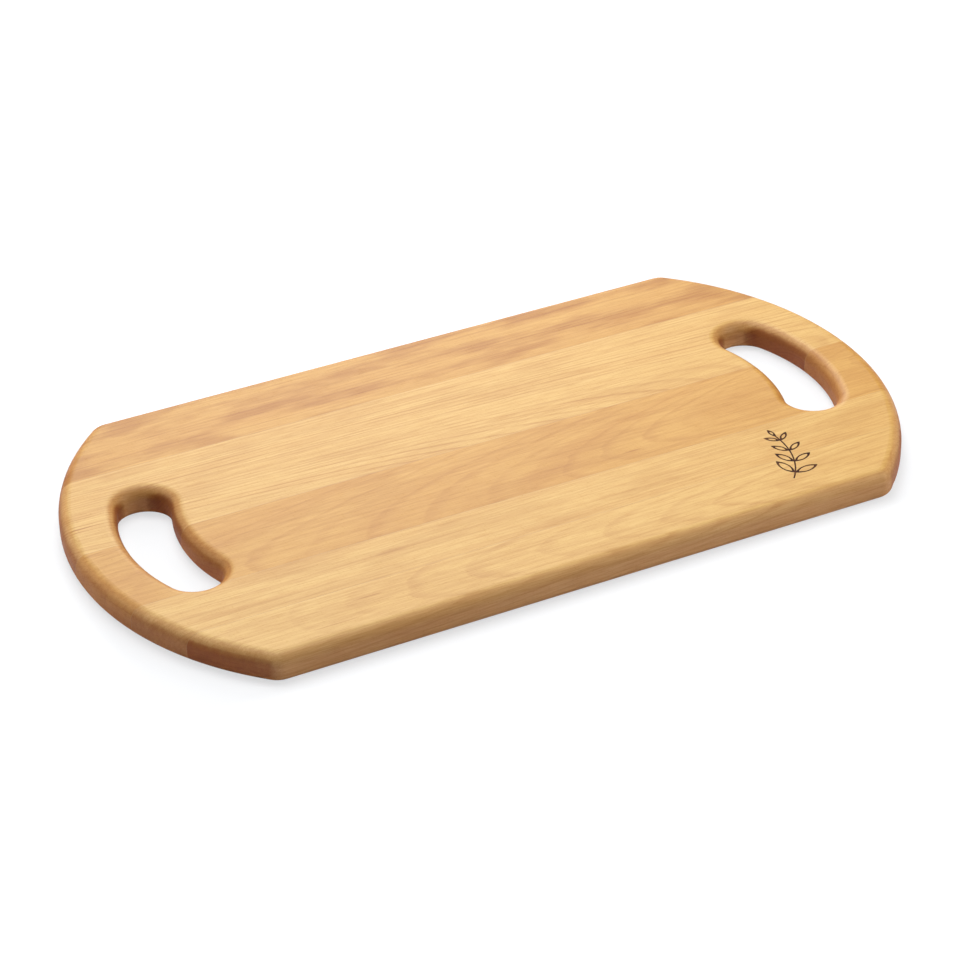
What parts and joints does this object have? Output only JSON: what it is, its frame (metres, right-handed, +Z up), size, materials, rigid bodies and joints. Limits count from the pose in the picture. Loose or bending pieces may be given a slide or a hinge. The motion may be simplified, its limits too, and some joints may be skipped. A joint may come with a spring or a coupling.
{
  "type": "cutting board",
  "caption": "Flat wooden cutting and carrying board with bowed ends, a curved hand slot near each end, rounded edges and a burnt leaf sprig.",
  "frame": {"origin": "centre of the board's outline on its underside, which is the face it rests on", "axes": "+X along the board's length and its grain, +Y across the board from its front edge to its back edge, +Z up through the thickness"},
  "size_m": [0.53, 0.282, 0.018],
  "materials": {
    "pale_stave": "satin",
    "warm_stave": "satin",
    "glue": "satin",
    "charred_wood": "matte"
  },
  "bodies": {
    "root": {"stave_front": "pale_stave", "stave_inner_front": "pale_stave", "stave_inner_back": "pale_stave", "stave_back": "warm_stave", "stave_middle": "warm_stave", "glue_line_front": "glue", "glue_line_inner_front": "glue", "glue_line_middle": "glue", "glue_line_middle_left_grip": "glue", "glue_line_middle_right_grip": "glue", "glue_line_inner_back": "glue", "burnt_mark": "charred_wood"}
  },
  "joints": []
}
